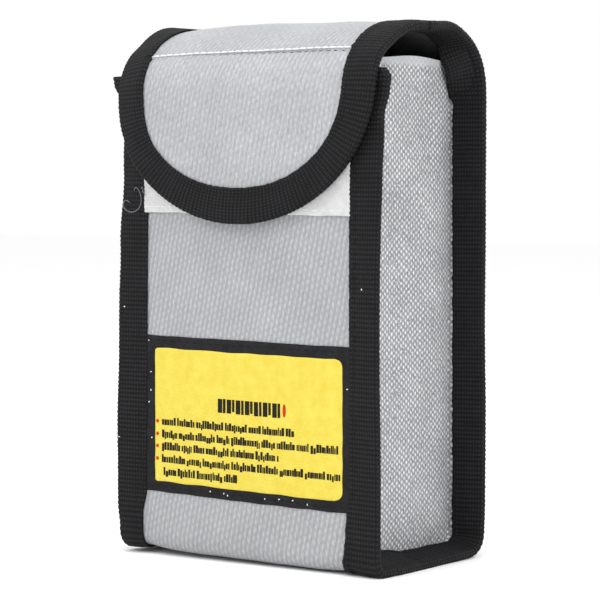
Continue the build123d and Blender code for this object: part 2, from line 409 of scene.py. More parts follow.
# ---- the gussets ----
def gusset_side(z):
    """Front and back edge (y) of a gusset at height z, inside the strip's layers."""
    radius = base_corner - stack
    below = np.clip(low_turn - z, 0, radius)
    reach = radius - np.sqrt(np.clip(radius ** 2 - below ** 2, 0, None))
    return front_y + stack + reach, back_y - stack - reach


def gusset_swell(y, z, seed):
    depth = np.clip(np.minimum(y - front_y - stack, back_y - stack - y) / 9.0, 0, 1)
    foot = np.clip((z - base_seam_z - stack) / 12.0, 0, 1)
    swell = 1.1 * np.sin(depth * pi / 2) * np.sin(foot * pi / 2)
    waves = 0.3 * ripple(y, z, 36.0, seed) + 0.12 * ripple(y, z, 12.0, seed + 1)
    dent = 0.8 * np.exp(-(((y - 13.0) / 7.0) ** 2) - ((z - 112.0) / 9.0) ** 2)
    return swell + (waves - dent) * depth * foot


def nearest_s(y, z):
    s = np.linspace(0, back_head + 12, 2400)
    line_y, line_z = strip.at(s)
    out_y, out_z = strip.outward(s)
    gap = np.hypot(line_y - stack * out_y - y[:, None], line_z - stack * out_z - z[:, None])
    return s[np.argmin(gap, axis=1)]


def gusset_surface(name, side, x_face, top, sewn):
    """A gusset's outer face, and if sewn the flange that runs into the tape."""
    foot = base_seam_z + stack
    rows = np.concatenate([
        foot + (base_corner - stack) * (1 - np.cos(np.linspace(0, pi / 2, 12)[:-1])),
        np.linspace(low_turn, top, int((top - low_turn) / 0.9)),
    ])
    cols = 0.5 - 0.5 * np.cos(np.linspace(0, pi, 58))
    z = rows[:, None] + 0 * cols[None, :]
    low, high = gusset_side(z)
    shoulder_cut = np.sqrt(np.clip((shoulder_radius - stack) ** 2
                                   - np.clip(z - shoulder[1], 0, None) ** 2, 0, None))
    high = np.minimum(high, np.where(z > shoulder[1], shoulder[0] + shoulder_cut, 1e3))
    y = low + (high - low) * cols[None, :]
    sag = np.clip((z - top + 6) / 6, 0, 1) ** 2
    z = z - 0.5 * sag * np.sin(2.2 * pi * cols[None, :] + 0.4)
    x = x_face + gusset_swell(y, z, 21 + side)
    points = np.stack([x, y, z], -1).reshape(-1, 3)
    uv = np.stack([side * y, z], -1).reshape(-1, 2)
    faces = [f[::-1] for f in quads(*z.shape)]
    if sewn:
        index = np.arange(z.size).reshape(z.shape)
        rim = np.concatenate([index[::-1, 0], index[0, 1:-1], index[:, -1]])
        s = nearest_s(points[rim, 1], points[rim, 2])
        away = np.stack(strip.outward(s), -1) * [side, 1]
        lines = [rim]
        for reach in (0.4, 2.0, 4.0, flange):
            lines.append(len(points) + np.arange(len(rim)))
            flange_points = strip_point(side * (edge_x + reach), s, -stack) * [side, 1, 1]
            points = np.concatenate([points, flange_points])
            uv = np.concatenate([uv, uv[rim] + reach * away])
        for near, far in zip(lines, lines[1:]):
            strip_faces = np.stack([near[:-1], far[:-1], far[1:], near[1:]], -1)
            faces += strip_faces.tolist()
    points[:, 0] *= side
    if side == LEFT:
        faces = [f[::-1] for f in faces]
    return new_object(name, points, faces, uv)


def gusset_cloth(side):
    obj = gusset_surface("gusset_cloth_" + side_name(side), side, edge_x, gusset_hem, True)
    return thicken(obj, ply - 0.02)


def gusset_lining(side):
    obj = gusset_surface("gusset_inner_" + side_name(side), side, edge_x - ply, gusset_hem - 1, False)
    return thicken(obj, ply - 0.05)


def side_name(side):
    return "right" if side == RIGHT else "left"


# ---- the ribbed tape ----
TAPE_LEG = [
    (0.02, 0.02), (-0.04, 0.36), (0.2, 0.52), (1.0, 0.58), (1.8, 0.5), (2.6, 0.58),
    (4.2, 0.64), (5.8, 0.62), (7.1, 0.54), (7.9, 0.5),
]


def tape_section():
    """The folded tape's outline: across from the seam, rise, and how far each rib lifts it."""
    tip = tape + ply
    leg = np.array(TAPE_LEG)
    turn = np.radians([72, 45, 15, -15, -45, -72])
    fold = np.stack([fin_width - tip + tip * np.cos(turn), -ply + tip * np.sin(turn)], 1)
    under = leg[::-1] * [1, -1] - [0, stack]
    slot_u = fin_width - tip
    slot = np.array([(slot_u, -stack + 0.03), (fin_width - 0.55, -ply), (slot_u, -0.03)])
    outline = np.concatenate([leg, fold, under, slot])
    lift_leg = np.array([(0, 0), (-0.5, 0.6)] + [(0, 1)] * (len(leg) - 2))
    lift_fold = np.stack([np.cos(turn), np.sin(turn)], 1) * 1.2
    lift = np.concatenate([lift_leg, lift_fold, lift_leg[::-1] * [1, -1], np.zeros((3, 2))])
    return outline, lift


def uneven_ribs(place, low, high, seed):
    """A steady random level for each rib."""
    levels = np.random.default_rng(seed).uniform(low, high, 600)
    return levels[np.floor(place).astype(int) % 600]


def tape_mesh(name, place, lengths, seed, cover, under_cover):
    """Sweeps the section. place(row, across, rise) gives the points, and cover and under_cover
    say where the tape's outer and inner edges lie, across from the seam."""
    outline, lift = tape_section()
    run = lengths + 0.22 * ripple(lengths, 0 * lengths, 31.0, seed)
    rib = run / rib_pitch
    ribs = np.abs(np.sin(pi * rib)) ** 0.65 * uneven_ribs(rib, 0.72, 1.12, seed)
    ribs = ribs[:, None] * rib_rise
    swell = 0.06 * ripple(lengths, 0 * lengths, 26.0, seed + 1)[:, None]
    leg = len(TAPE_LEG)
    base_u = np.repeat(outline[None, :, 0], len(lengths), 0)
    leg_end = TAPE_LEG[-1][0]
    for part, edge in ((slice(0, leg), cover), (slice(leg + 6, 2 * leg + 6), under_cover)):
        edge = np.asarray(edge, float).reshape(-1, 1)
        base_u[:, part] = edge + base_u[:, part] * (leg_end - edge) / leg_end
    outer = (np.hypot(*lift.T) > 0)[None, :]
    near_edge = (np.abs(outline[None, :, 0]) < 0.3) & outer
    jag = uneven_ribs(rib, -0.09, 0.09, seed + 2)[:, None]
    u = base_u + lift[None, :, 0] * ribs + near_edge * jag
    h = outline[None, :, 1] + lift[None, :, 1] * (ribs + swell * (outline[None, :, 0] > 0.5))
    points = place(np.arange(len(lengths))[:, None], u, h)
    rows, cols = points.shape[:2]
    around = lengths_along(outline)
    uv = np.stack([run[:, None] + 0 * u, around[None, :] + 0 * u], -1)
    obj = new_object(name, points.reshape(-1, 3), tube_faces(rows, cols), uv.reshape(-1, 2))
    return tidy(obj, sharp=60)


def body_tape(side):
    count = int((split_s + 0.2) / rib_pitch * rib_samples)
    s = np.linspace(0.3, split_s + 0.5, count)
    reach = eased(s, REACHES_LEFT if side == LEFT else REACHES_RIGHT)
    reach = reach + 0.15 * ripple(s, 0 * s + side, 50.0, 31)
    corner = 0 if side == LEFT else 1.4 * np.clip(1 - s / 3.2, 0, 1) ** 2
    stretch = ((reach - corner) / fin_width)[:, None]

    def place(row, u, h):
        across = np.where(u > 0.5, u * (1 + (stretch[row[:, 0]] - 1) * np.clip(u / 3, 0, 1)), u)
        turned = np.clip(-u / 0.6, 0, 1) * (h < -stack)      # where the inner leg lies on the gusset
        across = across + turned * (-(h + stack) - 0.25 * u - across)
        h = h + turned * (u - stack - h)
        return strip_point(side * (edge_x + across), s[row] + 0 * u, h)

    if side == LEFT:
        covered = [(0, -1.0), (front_foot - 40, -0.3), (front_foot - 10, 0), (front_foot - 4, 1.2),
                   (base_start, 1.2), (base_start + 12, 0)]
    else:
        covered = [(front_foot - 16, 0), (front_foot - 5, -1.0), (base_start, -2.3),
                   (base_start + 10, 0)]
    cover = eased(s, covered)
    puckered = [(0, 1.0), (front_foot - 5, 1.0), (base_start + 1, -2.8), (base_start + 8, -2.4),
                (base_start + 26, 0.6), (base_end, 1.2), (back_foot + 8, 1.1), (back_head - 3, 1.0),
                (back_head + 3, -2.6), (back_head + 6, -4.4), (back_head + 10, -4.0),
                (back_head + 16, -0.4), (crown_start - 2, 0.4), (split_s, 0.6)]
    return tape_mesh("body_tape_" + side_name(side), place, s - s[0], 40 + side, cover,
                     eased(s, puckered))


def flap_outline(start, spread):
    """Rows along the flap's tape: the seam's (x, s), the fold's (x, s) and the length."""
    straight = tongue_s - start
    half_oval = pi * (0.75 * (edge_x + fin_x) / 2 + 0.25 * (inner_drop + outer_drop) / 2)
    rows = int((2 * straight + half_oval) / spread)
    side_rows = int(straight / spread)
    turn = np.linspace(0, pi, rows - 2 * side_rows)
    down = np.linspace(start, tongue_s, side_rows, endpoint=False)
    ones = np.ones(side_rows)
    full = 2 / np.where(turn < pi / 2, 2.1, 2.22)
    inner_turn_x = edge_x * np.sign(np.cos(turn)) * np.abs(np.cos(turn)) ** full
    inner_turn_s = tongue_s + inner_drop * np.sin(turn) ** full
    outer_turn_x = fin_x * np.cos(turn) - 1.1 * np.sin(turn)
    outer_turn_s = tongue_s + outer_drop * np.sin(turn)
    inner = np.stack([np.concatenate([edge_x * ones, inner_turn_x, -edge_x * ones]),
                      np.concatenate([down, inner_turn_s, down[::-1]])])
    outer = np.stack([np.concatenate([fin_x * ones, outer_turn_x, -fin_x * ones]),
                      np.concatenate([down, outer_turn_s, down[::-1]])])
    return inner, outer, lengths_along(((inner + outer) / 2).T)


def flap_tape():
    inner, outer, lengths = flap_outline(split_s, rib_pitch / rib_samples)

    def place(row, u, h):
        x, s = inner[:, row] + (outer - inner)[:, row] * (u / fin_width)
        return strip_point(x, s, h + 0.03)

    left = np.clip((-inner[0] - 20) / 10, 0, 1) * np.clip((tongue_s + 16 - inner[1]) / 12, 0, 1)
    return tape_mesh("flap_tape", place, lengths, 50, -1.8 * left, 0 * left)


# ---- fastening strips ----
def pad_on_front(name, half_width, low, high, rise, step, fuzz, seed, rounded=(0.0, 0.0), shift=0.0):
    """A thin pad on the front cloth, with uneven edges and rounded left and right corners."""
    cols = np.linspace(-1, 1, int(2 * half_width / step))
    rows = np.linspace(0, 1, int((high - low) / step))
    z = high - (high - low) * rows[:, None] + 0 * cols[None, :]
    x = half_width * cols[None, :] + 0 * z
    if max(rounded):
        radius = np.where(x < 0, *rounded)
        corner = np.clip(np.minimum(z - low, high - z), 0, radius)
        x = x * (1 - (radius - np.sqrt(radius ** 2 - (radius - corner) ** 2)) / half_width)
    z = z + 0.12 * ripple(x, z, 9.0, seed)
    x = x + 0.1 * ripple(z, x, 7.0, seed + 1)
    edge = np.minimum(np.abs(cols)[None, :] < 1, (rows[:, None] > 0) & (rows[:, None] < 1))
    lift = rise + fuzz * ripple(x, z, 1.1, seed + 2) + fuzz * ripple(x, z, 0.5, seed + 3)
    x = x + shift
    points = on_front(x, z, np.where(edge, lift, rise * 0.75))
    obj = surface(name, points, np.stack([x, z], -1))
    return thicken(obj, rise * 0.72, 40)


def hook_pad():
    drop = inner_drop - 1.0
    angles = np.linspace(0, pi / 2, 40)
    lengths = tongue_s + drop * np.sin(angles) * 0.9995
    widths = tongue_half_width(lengths, edge_x - 1.0, drop) + 0.02
    obj = strip_surface("hook_pad", lengths, widths, -stack - 0.02)
    return thicken(obj, pile - 0.15)


# ---- stitches and threads ----
def capsules(name, places, length, width, rise):
    """One row of stitches: each place is (middle, along, outward)."""
    rings, sides = 5, 8
    points, faces, uv = [], [], []
    for middle, along, outward in places:
        along = along / np.linalg.norm(along)
        outward = outward - along * np.dot(outward, along)
        outward = outward / np.linalg.norm(outward)
        across = np.cross(along, outward)
        first = len(points)
        for i in range(rings):
            t = -1 + 2 * i / (rings - 1)
            girth = np.sqrt(max(0.02, 1 - abs(t) ** 3))
            for j in range(sides):
                a = 2 * pi * j / sides
                offset = along * t * length / 2 + across * cos(a) * width / 2 * girth
                points.append(middle + offset + outward * (sin(a) * rise * girth - 0.25 * rise * t * t))
                uv.append((t * length / 2, a))
        faces += tube_faces(rings, sides, first)
    return tidy(new_object(name, points, faces, uv))


def stitch_places(point_at, lengths):
    """Places of the stitches of a seam, from a function of its length."""
    places = []
    for s in lengths:
        middle, ahead = point_at(s, 0.0), point_at(s + 0.5, 0.0)
        above = point_at(s, 1.0)
        places.append((middle, ahead - middle, above - middle))
    return places


def flap_line_row(name, start, offset, length, width, rise):
    def point_at(x, lift):
        return strip_point(x, flap_line(x) + offset, 0.1 + lift)

    xs = np.arange(start - edge_x, edge_x - 0.6, 2.2)
    return capsules(name, stitch_places(point_at, xs), length, width, rise)


def cross_stitches(name, levels, rise):
    pitch = 2.5
    places = []
    for z in levels:
        def point_at(x, lift, z=z):
            return on_front(x, z + 0.12 * np.sin(x / 5.0), rise + lift)

        places += stitch_places(point_at, np.arange(-edge_x + 1.5, edge_x - 1.0, pitch))
    return capsules(name, places, pitch * 0.72, 0.4, 0.16)


def tape_seam(name, seam_point, end, rise):
    """Stitches on both legs of a tape, where seam_point(length, rise) is a point of its seam."""
    def outer(s, lift):
        return seam_point(s, rise + lift)

    def inner(s, lift):
        return seam_point(s, -stack - 0.6 - lift)

    lengths = np.arange(1.5, end, seam_pitch)
    places = stitch_places(outer, lengths) + stitch_places(inner, lengths + seam_pitch / 2)
    return capsules(name, places, 1.9, 0.3, 0.13)


def body_tape_stitches(side):
    def seam_point(s, rise):
        return strip_point(side * (edge_x + seam_in), s, rise)

    return tape_seam("body_tape_stitches_" + side_name(side), seam_point, split_s - 1, 0.6)


def flap_tape_stitches():
    inner, outer, lengths = flap_outline(split_s, 0.5)
    seam_x, seam_s = inner + (outer - inner) * (seam_in / fin_width)

    def seam_point(place, rise):
        return strip_point(np.interp(place, lengths, seam_x), np.interp(place, lengths, seam_s), rise)

    return tape_seam("flap_tape_stitches", seam_point, lengths[-1] - 1.5, 0.62)


def loose_thread(name, points):
    curve = bpy.data.curves.new(name, "CURVE")
    curve.dimensions = "3D"
    spline = curve.splines.new("NURBS")
    spline.points.add(len(points) - 1)
    for knot, point in zip(spline.points, points):
        knot.co = (*(np.asarray(point) * MM), 1)
    spline.order_u = 4
    spline.use_endpoint_u = True
    spline.resolution_u = 10
    curve.bevel_depth = 0.1 * MM
    curve.bevel_resolution = 3
    curve.use_fill_caps = True
    drawn = linked(name, curve)
    mesh = bpy.data.meshes.new_from_object(drawn)
    bpy.data.objects.remove(drawn)
    mesh.shade_smooth()
    return linked(name, mesh)


def above_front_tape(x, z, lift):
    return settle(on_front(x, z, tape + 0.3 + lift))[0]


def loose_ends():
    """Two loose ends of the seam's thread, curled on the left tape under the flap. Each point is
    (x, height above the loop strip's foot, lift)."""
    ring = [(-37.2, 2.3, 0.1), (-38.2, 3.3, 0.5), (-39.0, 2.7, 0.8), (-38.8, 1.2, 0.9),
            (-37.4, 0.1, 0.9), (-35.3, -0.2, 0.7), (-33.5, 0.7, 0.5), (-32.6, 2.4, 0.4),
            (-32.7, 4.6, 0.5), (-33.7, 6.3, 0.7), (-34.9, 6.6, 0.6), (-35.6, 5.7, 0.2)]
    stray = [(-31.4, 4.4, 0.2), (-32.2, 5.3, 0.7), (-31.6, 6.1, 0.8), (-32.4, 6.8, 0.5),
             (-32.9, 6.0, 0.2)]
    ends = []
    for number, points in enumerate((ring, stray)):
        places = [above_front_tape(x, loop_low + z, lift) for x, z, lift in points]
        ends.append(loose_thread(f"loose_end_{number}", places))
    return ends


def lint():
    """Pale specks of fluff on the label's dark edge and on the tape."""
    spots = [(-30.9, 55.6), (-30.2, 47.4), (-30.2, 42.6), (-30.9, 39.4), (-30.0, 30.0), (-10.4, 17.6),
             (-6.0, 17.5), (-4.8, 17.1), (7.0, 17.4), (11.4, 17.7), (15.6, 17.8), (20.0, 17.2),
             (31.4, 46.6), (-40.2, 29.5), (-38.4, 64.0), (-31.6, 95.4), (-31.0, 94.6), (36.2, 71.0)]
    draw = np.random.default_rng(17)
    places = []
    for x, z in spots:
        rise = 0.42 if abs(x) < edge_x else tape + 0.25
        turn = draw.uniform(0, pi)
        middle = on_front(x, z, rise)
        along = np.array([cos(turn), 0.0, sin(turn)])
        places.append((middle, along, np.array([0.0, -1.0, 0.0])))
    return capsules("lint", places, 0.55, 0.3, 0.15)


# ---- the label's print: plain bars and round marks, with no letters ----
# each row's middle height, and where it starts and ends across
PRINT_ROWS = [
    (34.5, -26.4, 16.0), (31.15, -26.4, 29.2), (27.95, -26.4, 11.6), (24.65, -26.4, 30.4),
    (21.35, -25.8, -1.0),
]
HEADING = (40.0, -7.8, 12.2)


def printed(name, outlines, rise):
    """Small printed shapes, each an outline of (x, z), with its top rise above the cloth."""
    points, faces = [], []
    for outline in outlines:
        faces += tube_faces(2, len(outline), len(points))
        for lift in (field_ply - 0.05, rise):
            points += [on_front(x, z, lift) for x, z in outline]
    obj = tidy(new_object(name, points, faces))
    obj.data.shade_flat()
    return obj


def label_bars(blocks, seed):
    """Bars with slightly uneven edges, each block (x low, x high, z low, z high)."""
    draw = np.random.default_rng(seed)
    outlines = []
    for block in blocks:
        x0, x1, z0, z1 = np.array(block) + draw.uniform(-0.05, 0.05, 4)
        outlines.append([(x0, z0), (x1, z0), (x1, z1), (x0, z1)])
    return printed("label_bars", outlines, field_ply + 0.03)


def bar_rows(seed):
    draw = np.random.default_rng(seed)
    blocks = []
    for z, start, end in PRINT_ROWS:
        x = start
        while x < end - 0.8:
            word = x + draw.uniform(3.5, 9.5)
            while x < min(word, end) - 0.5:
                width = draw.uniform(0.36, 0.8)
                tall = 1.5 + (0.55 if draw.uniform() < 0.3 else 0.0)
                low = -0.8 - (0.4 if draw.uniform() < 0.1 else 0.0)
                blocks.append((x, x + width, z + low, z + low + tall))
                x += width + 0.13
            x += 0.4
    return blocks


def heading_blocks():
    z, start, end = HEADING
    count = 7
    pitch = (end - start) / count
    blocks = []
    for i in range(count):
        left = start + i * pitch
        blocks.append((left, left + 0.5 * pitch, z - 1.8, z + 1.8))
        blocks.append((left + 0.58 * pitch, left + 0.86 * pitch, z - 1.8 + 0.5 * (i % 2), z + 1.8))
    return blocks


def red_marks():
    spots = [(-27.9, row[0] + 0.1, 0.5, 0.5) for row in PRINT_ROWS[:4]]
    spots += [(HEADING[2] + 0.8, HEADING[0] + 0.1, 0.5, 1.7)]
    outlines = []
    for x, z, wide, tall in spots:
        turns = np.linspace(0, 2 * pi, 16, endpoint=False)
        outlines.append([(x + wide * cos(a), z + tall * sin(a)) for a in turns])
    return printed("label_marks", outlines, field_ply + 0.04)


# ---- materials ----
class Look:
    """A material made of nodes, with short calls for the few kinds it needs."""

    def __init__(self, name, roughness, sheen=0.0, specular=0.5):
        self.material = bpy.data.materials.new(name)
        self.material.use_nodes = True
        self.tree = self.material.node_tree
        self.shader = self.tree.nodes["Principled BSDF"]
        self.shader.inputs["Roughness"].default_value = roughness
        self.shader.inputs["Sheen Weight"].default_value = sheen
        self.shader.inputs["Sheen Roughness"].default_value = 0.5
        self.shader.inputs["Specular IOR Level"].default_value = specular

    def node(self, kind, **settings):
        node = self.tree.nodes.new(kind)
        for key, value in settings.items():
            setattr(node, key, value)
        return node

    def feed(self, socket, value):
        if isinstance(value, bpy.types.NodeSocket):
            self.tree.links.new(value, socket)
        else:
            socket.default_value = (*value, 1) if isinstance(value, tuple) else value

    def maths(self, operation, a, b=0.0, c=0.0):
        node = self.node("ShaderNodeMath", operation=operation)
        for socket, value in zip(node.inputs, (a, b, c)):
            self.feed(socket, value)
        return node.outputs[0]

    def times(self, a, b):
        return self.maths("MULTIPLY", a, b)

    def times_plus(self, a, b, c):
        return self.maths("MULTIPLY_ADD", a, b, c)

    def uv(self):
        return self.node("ShaderNodeUVMap", uv_map="cloth").outputs[0]

    def place(self):
        """Position on the piece itself, in millimetres."""
        scale = self.node("ShaderNodeVectorMath", operation="SCALE")
        self.feed(scale.inputs[0], self.node("ShaderNodeTexCoord").outputs["Object"])
        scale.inputs["Scale"].default_value = 1 / MM
        return scale.outputs[0]

    def noise(self, vector, size, detail=2.0, rough=0.55, output=0):
        node = self.node("ShaderNodeTexNoise", normalize=True)
        self.feed(node.inputs["Vector"], vector)
        node.inputs["Scale"].default_value = 1 / size
        node.inputs["Detail"].default_value = detail
        node.inputs["Roughness"].default_value = rough
        return node.outputs[output]

    def fleck(self, size, detail=2.0, rough=0.55):
        """Noise fixed to the piece itself."""
        return self.noise(self.place(), size, detail, rough)

    def ramp(self, value, stops):
        node = self.node("ShaderNodeValToRGB")
        self.feed(node.inputs[0], value)
        ramp = node.color_ramp
        while len(ramp.elements) < len(stops):
            ramp.elements.new(0.5)
        for element, (place, level) in zip(ramp.elements, stops):
            element.position = place
            colour = level if isinstance(level, tuple) else (level,) * 3
            element.color = (*colour, 1)
        return node.outputs[0]

    def blend(self, share, a, b):
        node = self.node("ShaderNodeMix", data_type="RGBA")
        self.feed(node.inputs["Factor"], share)
        for socket, value in ((node.inputs[6], a), (node.inputs[7], b)):
            self.feed(socket, value)
        return node.outputs[2]

    def colour(self, value):
        self.feed(self.shader.inputs["Base Color"], value)

    def rough(self, value):
        self.feed(self.shader.inputs["Roughness"], value)

    def bump(self, height, depth):
        node = self.node("ShaderNodeBump")
        self.feed(node.inputs["Height"], height)
        node.inputs["Distance"].default_value = depth * MM
        self.tree.links.new(node.outputs[0], self.shader.inputs["Normal"])

    def wave(self, vector, kx, ky, phase=0.0):
        """cos of the angle at kx and ky turns per millimetre along the cloth."""
        parts = self.node("ShaderNodeSeparateXYZ")
        self.feed(parts.inputs[0], vector)
        turn = self.times(parts.outputs[0], kx * 2 * pi)
        turn = self.times_plus(parts.outputs[1], ky * 2 * pi, turn)
        return self.maths("COSINE", self.maths("ADD", turn, phase))

    def jittered(self, vector, size, amount):
        """The same vector, pushed about so that yarns are not quite regular."""
        push = self.node("ShaderNodeVectorMath", operation="MULTIPLY_ADD")
        self.feed(push.inputs[0], self.noise(vector, size, 1.0, 0.5, output=1))
        push.inputs[1].default_value = (2 * amount,) * 3
        self.feed(push.inputs[2], vector)
        return push.outputs[0]


# (turns per mm across, turns per mm up, share) of the cloth's weave, along and across the roll
WEAVE = [(0.709, -0.151, 0.42), (0.236, -0.603, 0.15), (0.473, 0.452, 0.12), (1.18, 0.30, 0.14)]
CROSS_WEAVE = [(0.47, 0.64, 0.36), (0.47, -0.64, 0.36), (0.94, 0.0, 0.26), (0.9, 0.34, 0.16)]


def silver_look(name, stops, depth, waves, strength=1.0, streak=1.5, pores_and_shade=0.12, hem=None):
    """The coated cloth, its yarn crowns painted lighter as painted glints and its hollows darker as
    painted shade. Above the height hem the weave fades into a folded edge.
    """
    look = Look(name, 0.42, specular=0.5)
    flat = look.uv()
    uv = look.jittered(flat, 1.7, 0.3)
    weave = 0.0
    for kx, ky, share in waves:
        weave = look.times_plus(look.wave(uv, kx, ky), share * strength, weave)
    parts = look.node("ShaderNodeSeparateXYZ")
    look.feed(parts.inputs[0], flat)
    slant = look.times_plus(parts.outputs[1], -0.21, parts.outputs[0])
    along = look.node("ShaderNodeCombineXYZ")
    look.feed(along.inputs[0], look.times(slant, 2.3))
    look.feed(along.inputs[1], look.times(parts.outputs[1], 0.55))
    streaks = look.noise(along.outputs[0], 1.0, 2.0, 0.6)
    grain = look.noise(flat, 0.5, 1.5)
    height = look.times_plus(look.maths("SUBTRACT", streaks, 0.5), streak, weave)
    height = look.times_plus(look.maths("SUBTRACT", grain, 0.5), 0.7, height)
    spots = look.ramp(look.noise(uv, 0.5, 0.5), [(0.3, 1.0), (0.4, 0.0)])
    # the weave's low places are painted darker as painted shade, together with dark pore spots
    pores_and_hollow_shade = look.ramp(weave, [(0.0, 1.0), (0.2, 0.0)])
    pores_and_hollow_shade = look.maths("MAXIMUM", look.times(pores_and_hollow_shade, 0.5), spots)
    if hem is not None:
        level = look.maths("SUBTRACT", parts.outputs[1], hem)
        plain = look.ramp(level, [(0.0, 1.0), (1.0, 0.15)])
        height = look.times(height, plain)
        pores_and_hollow_shade = look.times(pores_and_hollow_shade, plain)
    patches = look.noise(flat, 16.0, 2.0)
    # the colour follows the weave's height, so yarn crowns and floats are painted lighter as painted
    # glints; patches add random tone
    shade = look.times_plus(height, 0.27, look.times_plus(patches, 0.3, 0.32))
    colour = look.ramp(shade, stops)
    look.colour(look.blend(look.times(pores_and_hollow_shade, pores_and_shade), colour, (0.09, 0.09, 0.1)))
    look.rough(look.times_plus(grain, 0.28, 0.3))
    look.bump(height, depth)
    return look.material


def tape_look(name, groove_shade, base, crest_light):
    look = Look(name, 0.75, specular=0.2)
    uv = look.uv()
    ridge = look.wave(uv, 1 / rib_pitch, 0.0, pi)
    yarns = look.wave(look.jittered(uv, 1.2, 0.12), 0.0, 1.25)
    twill = look.wave(uv, 2 / rib_pitch, 0.62)
    fuzz = look.fleck(0.33, 2.0)
    dots = look.times(look.times_plus(ridge, 0.5, 0.5), yarns)
    height = look.times_plus(dots, 0.5, fuzz)
    height = look.times_plus(twill, 0.16, height)
    wear = look.fleck(6.0, 3.0)
    # rib crests are painted lighter and the grooves between them darker, as painted highlight and
    # painted shade; wear adds random tone
    shade = look.times_plus(ridge, 0.16, look.times(height, 0.42))
    shade = look.times_plus(wear, 0.3, shade)
    look.colour(look.ramp(shade, [(0.16, groove_shade), (0.4, base), (0.72, crest_light)]))
    look.rough(look.times_plus(fuzz, 0.3, 0.6))
    look.bump(height, 0.12)
    return look.material


def lining_look():
    look = Look("lining", 0.8, sheen=0.1, specular=0.3)
    uv = look.uv()
    weave = look.times(look.wave(uv, 1.1, 0.0), look.wave(uv, 0.0, 1.1))
    look.colour(look.blend(look.fleck(5.0), (0.018, 0.018, 0.02), (0.04, 0.04, 0.043)))
    look.bump(weave, 0.06)
    return look.material


def loop_look():
    look = Look("loop_pile", 0.9, sheen=0.4, specular=0.2)
    fuzz = look.fleck(0.5, 4.0, 0.75)
    clumps = look.fleck(2.4, 2.0)
    shade = look.times_plus(clumps, 0.5, look.times(fuzz, 0.5))
    look.colour(look.ramp(shade, [(0.3, (0.6, 0.6, 0.61)), (0.65, (0.76, 0.76, 0.765))]))
    look.bump(fuzz, 0.5)
    return look.material


def hook_look():
    look = Look("hook_pile", 0.6, specular=0.4)
    uv = look.uv()
    hooks = look.times(look.wave(uv, 0.7, 0.0), look.wave(uv, 0.0, 0.7))
    peaks = look.ramp(hooks, [(0.1, 0.0), (0.7, 1.0)])
    look.colour(look.blend(peaks, (0.012, 0.012, 0.013), (0.07, 0.07, 0.075)))
    look.bump(peaks, 0.5)
    return look.material


def label_look(name, base, other, roughness, specular):
    look = Look(name, roughness, specular=specular)
    uv = look.uv()
    satin = look.maths("ADD", look.wave(uv, 0.0, 2.1), look.times(look.wave(uv, 1.4, 0.7), 0.5))
    mottle = look.fleck(3.2, 3.0)
    grain = look.fleck(0.45, 2.0)
    share = look.times_plus(mottle, 0.7, look.times(grain, 0.3))
    look.colour(look.blend(look.ramp(share, [(0.35, 0.0), (0.65, 1.0)]), base, other))
    look.bump(look.times_plus(satin, 0.4, grain), 0.05)
    return look.material


def thread_look(name, base, other, specular):
    look = Look(name, 0.6, specular=specular)
    place = look.place()
    twist = look.wave(place, 2.2, 1.4)
    fuzz = look.noise(place, 0.4, 2.0)
    look.colour(look.blend(fuzz, base, other))
    look.bump(look.times_plus(twist, 0.5, fuzz), 0.05)
    return look.material


def ink_look(name, base, other):
    look = Look(name, 0.7, specular=0.15)
    look.colour(look.blend(look.fleck(0.8, 3.0), base, other))
    look.bump(look.fleck(0.3, 2.0), 0.02)
    return look.material


# ---- the stage, the lights and the camera ----
def floor():
    mesh = bpy.data.meshes.new("floor")
    corners = [(-3, -3), (3, -3), (3, 3), (-3, 3)]
    mesh.from_pydata([(x, y, 0) for x, y in corners], [], [(0, 1, 2, 3)])
    look = Look("floor", 0.85, specular=0.2)
    look.colour(look.blend(look.fleck(60.0), (0.965,) * 3, (0.985,) * 3))
    mesh.materials.append(look.material)
    linked("floor", mesh)


def area_light(name, place, aim, size, power):
    data = bpy.data.lights.new(name, "AREA")
    data.shape = "DISK"
    data.size = size
    data.energy = power
    obj = linked(name, data)
    obj.location = place
    obj.rotation_euler = (Vector(place) - Vector(aim)).to_track_quat("Z", "Y").to_euler()


def studio():
    world = bpy.data.worlds.new("studio")
    world.use_nodes = True
    sky = world.node_tree.nodes["Background"]
    sky.inputs["Color"].default_value = (1, 1, 1, 1)
    sky.inputs["Strength"].default_value = 1.0
    bpy.context.scene.world = world
    middle = (0, 0, 0.07)
    area_light("key", (-0.35, -0.75, 0.85), middle, 0.45, 2.8)
    area_light("top", (0.05, -0.2, 1.0), middle, 0.4, 2.6)
    area_light("side", (0.9, -0.25, 0.45), middle, 0.5, 2.6)
    area_light("rear", (0.1, 0.9, 0.6), middle, 0.5, 2.4)
    bpy.context.scene.view_settings.view_transform = "Standard"


def camera():
    azimuth, elevation = radians(35.7), radians(2.68)
    target = Vector((-0.2, 2.35, 66.1)) * MM
    towards = Vector((sin(azimuth) * cos(elevation), -cos(azimuth) * cos(elevation), sin(elevation)))
    data = bpy.data.cameras.new("camera")
    data.lens = 147.0
    data.clip_start = 0.01
    obj = linked("camera", data)
    obj.location = target + towards * 635.5 * MM
    obj.rotation_euler = towards.to_track_quat("Z", "Y").to_euler()
    bpy.context.scene.camera = obj


# ---- putting it together ----
def dress(obj, material, slot, *nodes):
    obj.data.materials.append(material)
    if nodes:
        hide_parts(*nodes)
    return obj


def on_pouch(obj, material, slot, *nodes):
    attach(dress(obj, material, slot, *nodes), "pouch")
    return obj


def lid_and_pouch(obj):
    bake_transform(obj)


def lid_and_tongue(obj):
    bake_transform(obj)


camera()
studio()
floor()
